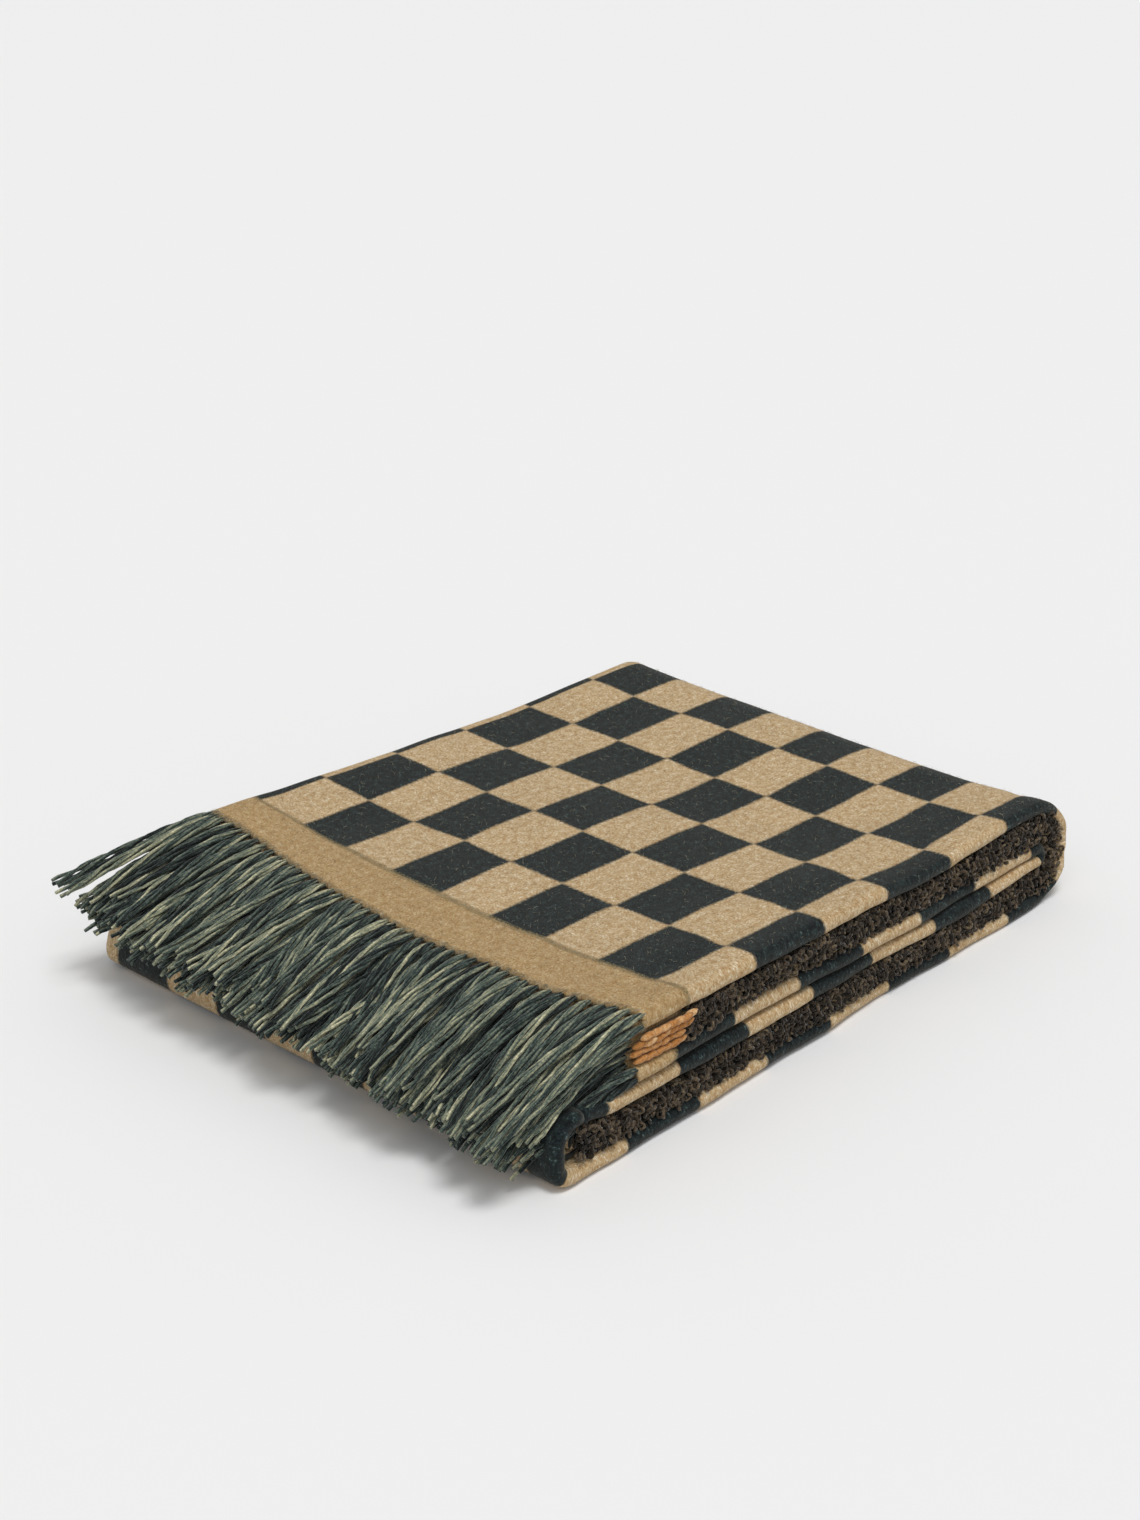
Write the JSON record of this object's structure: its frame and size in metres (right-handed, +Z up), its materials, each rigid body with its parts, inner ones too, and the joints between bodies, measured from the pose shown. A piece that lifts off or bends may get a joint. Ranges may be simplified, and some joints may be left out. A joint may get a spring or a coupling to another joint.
{
  "type": "folded throw blanket",
  "caption": "Fringed woven throw blanket folded to a flat stack; its upper half opens about the end folds.",
  "frame": {"origin": "centre of the bounding box on the surface that the folded stack rests on", "axes": "+X from the fringe towards the end folds, +Y from the near long side to the back, +Z up"},
  "size_m": [0.4789, 0.3256, 0.0728],
  "materials": {
    "checked_wool": "brushed double-faced wool weave in dark green-black and camel checks",
    "selvedge_yarn": "looped wool yarn along the long edges",
    "fringe_yarn": "twisted wool tassels in blue-green and cream strands"
  },
  "bodies": {
    "lower_half": {"bottom_panel": "checked_wool", "third_panel": "checked_wool", "lower_fold": "checked_wool", "bottom_selvedges": "selvedge_yarn", "third_selvedges": "selvedge_yarn", "lower_fold_selvedges": "selvedge_yarn"},
    "outer_fold": {"outer_end_fold": "checked_wool", "outer_fold_selvedges": "selvedge_yarn"},
    "inner_fold": {"inner_end_fold": "checked_wool", "inner_fold_selvedges": "selvedge_yarn"},
    "top_layers": {"top_panel": "checked_wool", "top_selvedges": "selvedge_yarn", "top_fringe_row_1": "fringe_yarn", "top_fringe_row_2": "fringe_yarn", "top_fringe_row_3": "fringe_yarn", "top_fringe_row_4": "fringe_yarn"},
    "second_layers": {"second_panel": "checked_wool", "second_selvedges": "selvedge_yarn", "second_fringe_row_1": "fringe_yarn", "second_fringe_row_2": "fringe_yarn", "second_fringe_row_3": "fringe_yarn", "second_fringe_row_4": "fringe_yarn"}
  },
  "joints": [
    {"name": "outer_fold_unroll", "type": "hinge", "parent": "lower_half", "child": "outer_fold", "pos_m": [0.2272, 0, 0.01205], "axis": [0, 1, 0], "range_deg": [0, 88.5], "deforming": ["outer_end_fold", "outer_fold_selvedges"]},
    {"name": "top_layers_open", "type": "hinge", "parent": "outer_fold", "child": "top_layers", "pos_m": [0.2272, 0, 0.0474], "axis": [0, 1, 0], "range_deg": [0, 88.5]},
    {"name": "inner_fold_unroll", "type": "hinge", "parent": "lower_half", "child": "inner_fold", "pos_m": [0.21542, 0, 0.02383], "axis": [0, 1, 0], "range_deg": [0, 88.5], "deforming": ["inner_end_fold", "inner_fold_selvedges"]},
    {"name": "second_layers_open", "type": "hinge", "parent": "inner_fold", "child": "second_layers", "pos_m": [0.21542, 0, 0.03562], "axis": [0, 1, 0], "range_deg": [0, 88.5]}
  ],
  "couplings": [
    {"joint": "top_layers_open", "follows": "outer_fold_unroll", "ratio": 1},
    {"joint": "inner_fold_unroll", "follows": "outer_fold_unroll", "ratio": 1},
    {"joint": "second_layers_open", "follows": "outer_fold_unroll", "ratio": 1}
  ]
}
